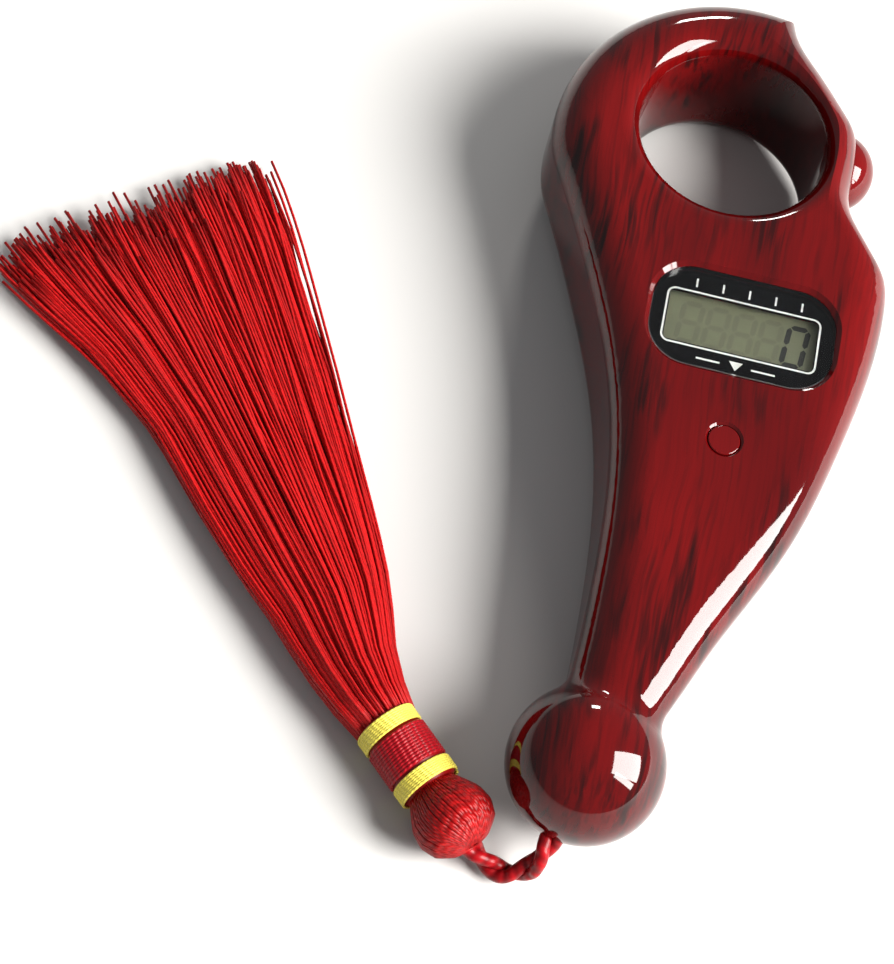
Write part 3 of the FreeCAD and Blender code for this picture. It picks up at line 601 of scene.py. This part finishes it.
skirt = {
    "strands": 1100,
    "radius": 0.00016,
    "steps": 18,
    # half widths and half height of the fan at each share of its length
    "shares": [0.0, 0.10, 0.19, 0.32, 0.46, 0.62, 0.78, 0.90, 1.0, 1.12],
    "left": [0.0029, 0.0039, 0.0051, 0.0066, 0.0074, 0.0079, 0.0102, 0.0131, 0.0154, 0.0172],
    "right": [0.0030, 0.0045, 0.0062, 0.0081, 0.0098, 0.0118, 0.0136, 0.0149, 0.0157, 0.0160],
    "tall": [0.0028, 0.0028, 0.0027, 0.0025, 0.0023, 0.0020, 0.0018, 0.0016, 0.0014, 0.0012],
    "bend": 0.25,
    "tuck": 0.0006,
    "length": 1.015,
    "sideLength": 0.02,
    "raggedEnd": 0.020,
    "clumps": 24,
    "clumpUneven": (1.7, 3.1),
    "clumpPull": 0.018,
    "clumpLength": 0.034,
    "clumpPhase": 1.2,
    "clumpRise": 0.16,
    "middleDip": 0.045,
    "dipPlace": 0.15,
    "dipWidth": 0.35,
    "strayShare": 0.12,
    "strayLength": (0.02, 0.08),
    "waver": 0.035,
    "waves": (0.8, 2.2),
    "drift": 0.05,
    "edge": 1.04,
    "furthest": 0.0595,  # from the end of the cord's route
}
underlay = {"around": 32, "rows": 24, "length": 0.86, "wide": 0.82, "tall": 0.50}
underlayFinish = dict(colour=(0.22, 0.002, 0.003), roughness=0.9, grain=(900, 900, 900), change=0.3)


def skirtPoint(setup, holder, share, across, high):
    # a place in the fan, which leaves the bindings along the head and bends to the tip
    start = holder["bindingEnd"]
    headWay = (start - holder["start"]).normalized()
    fan = holder["tip"] - start
    flat = Vector((fan.x, fan.y, 0)).normalized()
    side = Vector((flat.y, -flat.x, 0))
    blend = min(1, share / setup["bend"])
    ease = blend * blend * (3 - 2 * blend)
    bow = headWay * fan.length * share * (1 - ease) + fan * share * ease
    wide = np.interp(share, setup["shares"], setup["right" if across > 0 else "left"])
    tall = np.interp(share, setup["shares"], setup["tall"])
    return start + bow - headWay * setup["tuck"] + side * (wide * across) + upWay * (tall * high)


def strandLength(setup, draw, across, clump):
    length = setup["length"] + setup["sideLength"] * across
    length += setup["clumpLength"] * math.sin(clump + setup["clumpPhase"])
    dip = setup["middleDip"] * math.exp(-((across - setup["dipPlace"]) / setup["dipWidth"]) ** 2)
    length += draw.gauss(0, setup["raggedEnd"]) - dip
    if draw.random() < setup["strayShare"]:
        length += draw.uniform(*setup["strayLength"])
    return length


def strandPath(setup, holder, draw):
    # one strand from a random place in the bindings, with its own waver and drift
    angle = draw.uniform(0, 2 * math.pi)
    out = math.sqrt(draw.random())
    across, high = out * math.cos(angle), out * math.sin(angle)
    strength, rate = setup["clumpUneven"]
    clump = setup["clumps"] * across + strength * math.sin(rate * across)
    length = strandLength(setup, draw, across, clump)
    pull = setup["clumpPull"] * math.sin(clump)
    high *= 1 - setup["clumpRise"] * (0.5 + 0.5 * math.cos(clump))
    waver = draw.uniform(-1, 1) * setup["waver"]
    waves = draw.uniform(*setup["waves"])
    phase = draw.uniform(0, 6.28)
    drift = draw.gauss(0, setup["drift"])
    routeEnd = Vector(cord["route"][-1])
    path = []
    for step in np.linspace(0, 1, setup["steps"]):
        share = step * length
        wobble = waver * math.sin(phase + waves * 2 * math.pi * share) + drift * share
        place = across + wobble * min(1, 3 * share) + pull * share * share
        place = max(-setup["edge"], min(setup["edge"], place))
        point = skirtPoint(setup, holder, share, place, high)
        if path and (point - routeEnd).length > setup["furthest"]:
            break
        path.append(point)
    return path


def makeSkirt(setup, holder):
    draw = random.Random(11)
    tubes = Tubes(5)
    for strand in range(setup["strands"]):
        path = strandPath(setup, holder, draw)
        tubes.add(path, [setup["radius"]] * len(path), draw.uniform(0.15, 0.95))
    print("skirt made:", setup["strands"], "strands")
    return tubes.piece("tasselStrands", threads["redSilk"], "red_cord", ["tassel_skirt"])


def makeUnderlay(setup, fan, holder):
    # a closed fan inside the strands, so no floor shows between them
    count = setup["around"]
    points, faces = [], []
    for share in np.linspace(0.0, setup["length"], setup["rows"]):
        for step in range(count):
            angle = 2 * math.pi * step / count
            across, high = setup["wide"] * math.cos(angle), setup["tall"] * math.sin(angle)
            points.append(skirtPoint(fan, holder, share, across, high))
    last = (setup["rows"] - 1) * count
    for low in range(0, last, count):
        for step in range(count):
            after = (step + 1) % count
            faces.append((low + step, low + after, low + count + after, low + count + step))
    faces.append(tuple(range(count - 1, -1, -1)))
    faces.append(tuple(range(last, last + count)))
    material = plainMaterial("underlayFinish", **underlayFinish)
    return meshPiece("tasselUnderlay", points, faces, material, "red_cord")


headPiece = makeHead(tassel)
bindingPieces = makeBindings(bindings, tassel)
skirtPiece = makeSkirt(skirt, tassel)
underlayPiece = makeUnderlay(underlay, skirt, tassel)

# display: the printed mask with its white lines, and the digits

display = {
    "viewWidth": 0.0152,
    "viewHeight": 0.0058,
    "viewCorner": 0.0004,
    "maskCorner": 0.0042,
    "maskThickness": 0.00007,
    "line": 0.00020,
    "lineOut": 0.00012,
    "lineCorner": 0.0007,
    "lift": 0.00001,
    "tickLength": 0.0010,
    "tickAbove": 0.0013,
    "pointerBelow": 0.0009,
    "pointerWidth": 0.0014,
    "pointerHeight": 0.0010,
    "dashLength": 0.0024,
    "dashPlace": 0.0028,
    "dashBelow": 0.0005,
    "digits": 5,
    "digitHeight": 0.0044,
    "digitWidth": 0.0019,
    "digitPitch": 0.0027,
    "lastDigit": 0.0057,
    "segment": 0.00056,
    "segmentGap": 0.00008,
    "slant": 0.10,
    "white": (0.75, 0.75, 0.73),
    "ink": (0.004, 0.005, 0.004),
    "faintInk": (0.096, 0.099, 0.061),
}
litSegments = {"0": "abcdef", "8": "abcdefg"}


def roundedLoop(centre, width, height, corner, count=10):
    loop = []
    for sx, sy, first in ((1, 1, 0), (-1, 1, 90), (-1, -1, 180), (1, -1, 270)):
        for step in range(count + 1):
            angle = math.radians(first + 90 * step / count)
            x = centre.x + sx * (width / 2 - corner) + corner * math.cos(angle)
            y = centre.y + sy * (height / 2 - corner) + corner * math.sin(angle)
            loop.append((x, y))
    return loop


def plateBetween(outer, inner, low, high):
    # a flat ring between two loops of as many points
    count = len(outer)
    points = [(x, y, level) for level in (low, high) for x, y in outer + inner]
    up = 2 * count
    faces = []
    for index in range(count):
        after = (index + 1) % count
        a, b, c, d = index, after, count + after, count + index
        faces.append((a, d, c, b))
        faces.append((a + up, b + up, c + up, d + up))
        faces.append((a, b, b + up, a + up))
        faces.append((c, d, d + up, c + up))
    return points, faces


def flatShape(corners, low, high):
    # a thin plate from corners in the plane
    area = sum(x0 * y1 - x1 * y0 for (x0, y0), (x1, y1) in zip(corners, corners[1:] + corners[:1]))
    if area < 0:
        corners = corners[::-1]
    count = len(corners)
    points = [(x, y, level) for level in (low, high) for x, y in corners]
    faces = [tuple(range(count - 1, -1, -1)), tuple(range(count, 2 * count))]
    faces += [(i, (i + 1) % count, count + (i + 1) % count, count + i) for i in range(count)]
    return points, faces


def barShape(x, y, width, height, low, high):
    w, h = width / 2, height / 2
    return flatShape([(x - w, y - h), (x + w, y - h), (x + w, y + h), (x - w, y + h)], low, high)


def merged(shapes):
    points, faces = [], []
    for some, their in shapes:
        start = len(points)
        points += some
        faces += [tuple(index + start for index in face) for face in their]
    return points, faces


def windowCentre():
    low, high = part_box("window_mask")
    return (low + high) / 2


def makeMask(setup):
    low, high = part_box("window_mask")
    centre = windowCentre()
    outer = roundedLoop(centre, high.x - low.x, high.y - low.y, setup["maskCorner"])
    inner = roundedLoop(centre, setup["viewWidth"], setup["viewHeight"], setup["viewCorner"])
    points, faces = plateBetween(outer, inner, low.z, low.z + setup["maskThickness"])
    meshPiece("windowPrint", points, faces, finishes["mask"], "mask", ["window_mask"], smooth=False)


def makeLines(setup):
    # white print on the mask: a frame, a tick over each digit, and a pointer between two dashes
    low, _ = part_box("window_mask")
    centre = windowCentre()
    line, corner = setup["line"], setup["lineCorner"]
    levels = (low.z + setup["maskThickness"], low.z + setup["maskThickness"] + setup["lift"])
    width, height = setup["viewWidth"] + 2 * setup["lineOut"], setup["viewHeight"] + 2 * setup["lineOut"]
    outer = roundedLoop(centre, width + 2 * line, height + 2 * line, corner + line)
    inner = roundedLoop(centre, width, height, corner)
    shapes = [plateBetween(outer, inner, *levels)]
    rise = centre.y + setup["viewHeight"] / 2 + setup["tickAbove"]
    for tick in range(setup["digits"]):
        x = centre.x + setup["lastDigit"] - tick * setup["digitPitch"]
        shapes.append(barShape(x, rise, line, setup["tickLength"], *levels))
    drop = centre.y - setup["viewHeight"] / 2 - setup["pointerBelow"]
    half = setup["pointerWidth"] / 2
    pointer = [(centre.x - half, drop), (centre.x, drop - setup["pointerHeight"]), (centre.x + half, drop)]
    shapes.append(flatShape(pointer, *levels))
    for way in (-1, 1):
        x = centre.x + way * setup["dashPlace"]
        shapes.append(barShape(x, drop - setup["dashBelow"], setup["dashLength"], line, *levels))
    white, _ = newMaterial("whitePrint", setup["white"], 0.4)
    meshPiece("windowLines", *merged(shapes), white, "mask", smooth=False)


def digitShapes(letter, centreX, centreY, low, high, setup):
    half, tall = setup["digitWidth"] / 2, setup["digitHeight"] / 2
    wide, gap = setup["segment"] / 2, setup["segmentGap"]
    spans = {
        "a": ((-half, tall), (half, tall)),
        "b": ((half, 0), (half, tall)),
        "c": ((half, -tall), (half, 0)),
        "d": ((-half, -tall), (half, -tall)),
        "e": ((-half, -tall), (-half, 0)),
        "f": ((-half, 0), (-half, tall)),
        "g": ((-half, 0), (half, 0)),
    }
    shapes = []
    for key in litSegments[letter]:
        (x0, y0), (x1, y1) = spans[key]
        length = math.hypot(x1 - x0, y1 - y0)
        ux, uy = (x1 - x0) / length, (y1 - y0) / length
        end = length - gap
        outline = [
            (gap, 0), (gap + wide, wide), (end - wide, wide),
            (end, 0), (end - wide, -wide), (gap + wide, -wide),
        ]
        corners = []
        for along, out in outline:
            x, y = x0 + ux * along - uy * out, y0 + uy * along + ux * out
            corners.append((centreX + x + setup["slant"] * y, centreY + y))
        shapes.append(flatShape(corners, low, high))
    return shapes


def makeDigits(setup):
    # a nought in the last place, and unlit digits in the others
    _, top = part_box("front_polariser")
    centre = windowCentre()
    ink, _ = newMaterial("digitInk", setup["ink"], 0.6)
    faint, _ = newMaterial("faintInk", setup["faintInk"], 0.35)
    last = centre.x + setup["lastDigit"]
    shapes = digitShapes("0", last, centre.y, top.z, top.z + 2 * setup["lift"], setup)
    meshPiece("digitShown", *merged(shapes), ink, "film", smooth=False)
    shapes = []
    for place in range(1, setup["digits"]):
        x = last - place * setup["digitPitch"]
        shapes += digitShapes("8", x, centre.y, top.z, top.z + setup["lift"], setup)
    meshPiece("digitsFaint", *merged(shapes), faint, "film", smooth=False)


makeMask(display)
makeLines(display)
makeDigits(display)
print("display made")

# floor and light: azimuth, height and roll are in degrees, power in watts

room = {
    "floorColour": (0.52, 0.512, 0.50),
    "floorSize": 1.2,
    "floorGap": 0.00002,
    "ambient": (0.95, 0.97, 1.0),
    "ambientStrength": 0.33,
    "away": 0.55,
    "lights": {
        "windowWidePane": dict(
            azimuth=-8.5, height=37.2, roll=17.6, size=(0.30, 0.43), power=13.0, colour=(1.0, 0.985, 0.96)
        ),
        "windowNarrowPane": dict(
            azimuth=-28.5, height=29.2, roll=17.6, size=(0.07, 0.32), power=2.3, colour=(1.0, 0.985, 0.96)
        ),
        "farLamp": dict(
            azimuth=93, height=24, roll=0, size=(0.08, 0.05), power=0.8, colour=(1.0, 0.97, 0.93)
        ),
    },
}


def makeFloor(setup):
    size = setup["floorSize"]
    corners = [(-size, -size, 0), (size, -size, 0), (size, size, 0), (-size, size, 0)]
    mesh = bpy.data.meshes.new("paleFloor")
    mesh.from_pydata(corners, [], [(0, 1, 2, 3)])
    material, _ = newMaterial("paleFloorPaint", setup["floorColour"], 0.7)
    mesh.materials.append(material)
    floor = bpy.data.objects.new("paleFloor", mesh)
    bpy.context.scene.collection.objects.link(floor)
    floor.location.z = cadBox[0][2] - setup["floorGap"]


def makeAmbient(setup):
    world = bpy.data.worlds.new("softRoom")
    world.use_nodes = True
    back = world.node_tree.nodes["Background"]
    back.inputs["Color"].default_value = (*setup["ambient"], 1)
    back.inputs["Strength"].default_value = setup["ambientStrength"]
    bpy.context.scene.world = world


def addLight(name, away, azimuth, height, roll, size, power, colour):
    data = bpy.data.lights.new(name, "AREA")
    data.shape = "RECTANGLE"
    data.size, data.size_y = size
    data.energy = power
    data.color = colour
    around, above = math.radians(azimuth), math.radians(height)
    flat = math.cos(above)
    way = Vector((flat * math.cos(around), flat * math.sin(around), math.sin(above)))
    lamp = bpy.data.objects.new(name, data)
    lamp.location = way * away
    turned = Quaternion((0, 0, 1), math.radians(roll))
    lamp.rotation_euler = (way.to_track_quat("Z", "Y") @ turned).to_euler()
    bpy.context.scene.collection.objects.link(lamp)


makeFloor(room)
makeAmbient(room)
for name, light in room["lights"].items():
    addLight(name, room["away"], **light)
print("room made:", len(room["lights"]), "lights")
